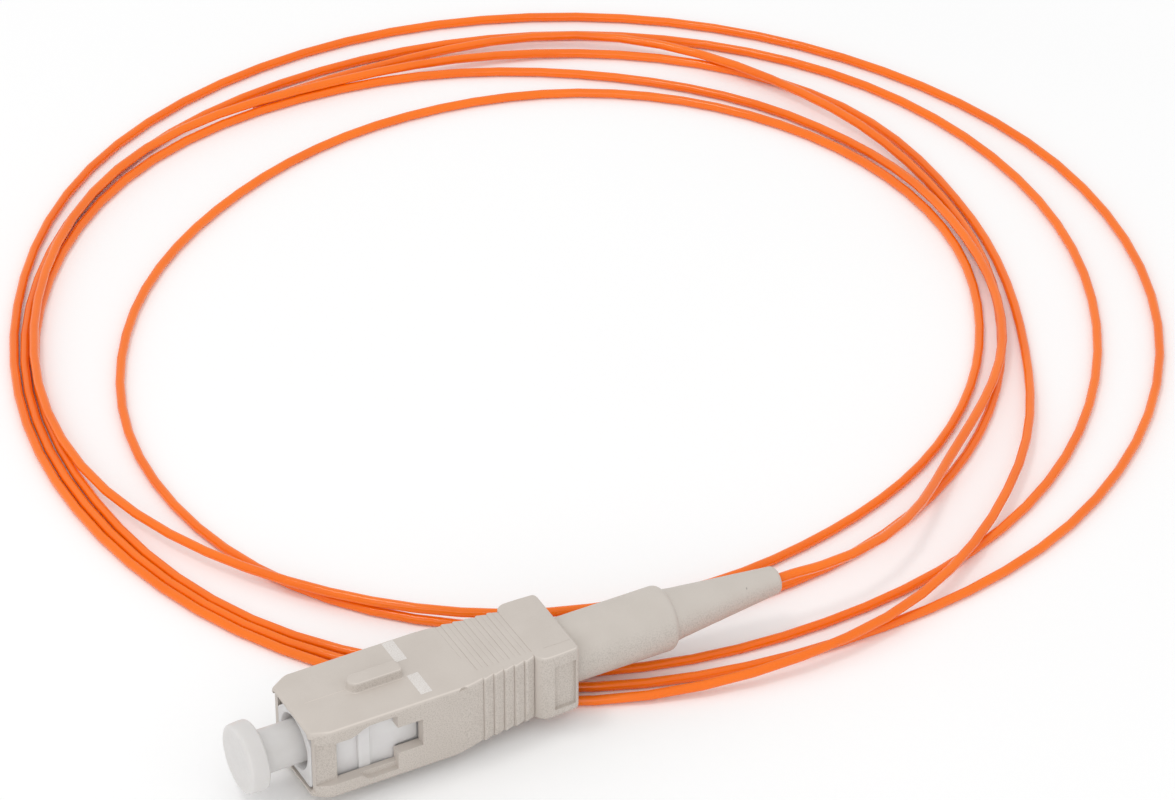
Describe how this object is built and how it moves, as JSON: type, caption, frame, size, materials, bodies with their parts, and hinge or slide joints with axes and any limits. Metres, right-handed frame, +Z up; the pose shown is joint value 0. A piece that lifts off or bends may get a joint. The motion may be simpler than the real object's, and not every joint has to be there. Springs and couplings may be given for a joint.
{
  "type": "fibre optic pigtail",
  "caption": "Square push-pull fibre connector with a dust cap, a tapered boot and a loosely coiled thin buffered fibre with a bare far end.",
  "frame": {"origin": "centre of the ferrule's polished end face", "axes": "+X along the connector from the mating face to the boot, +Z up on the side of the key, +Y to the side on which the fibre's loops lie"},
  "size_m": [0.1134, 0.1089, 0.0096],
  "materials": {
    "housing": "fine satin, warm beige grey",
    "frame": "satin white",
    "ferrule": "polished zirconia",
    "flange": "nickel plated",
    "post": "nickel plated",
    "boot": "soft satin, warm beige grey",
    "cap": "soft translucent white",
    "buffer": "smooth orange buffer"
  },
  "bodies": {
    "core": {"plug_frame": "frame", "back_post": "post", "boot": "boot", "fibre": "buffer"},
    "sleeve": {"grip_sleeve": "housing"},
    "ferrule": {"ferrule": "ferrule", "ferrule_flange": "flange"},
    "cap": {"dust_cap": "cap"}
  },
  "joints": [
    {"name": "sleeve_slide", "type": "slide", "parent": "core", "child": "sleeve", "axis": [1, 0, 0], "range_m": [0, 0.0018]},
    {"name": "ferrule_float", "type": "slide", "parent": "core", "child": "ferrule", "axis": [1, 0, 0], "range_m": [0, 0.001], "stiffness_N_per_m": 800, "springref_m": -0.003},
    {"name": "cap_pull", "type": "slide", "parent": "ferrule", "child": "cap", "axis": [-1, 0, 0], "range_m": [0, 0.012]}
  ]
}
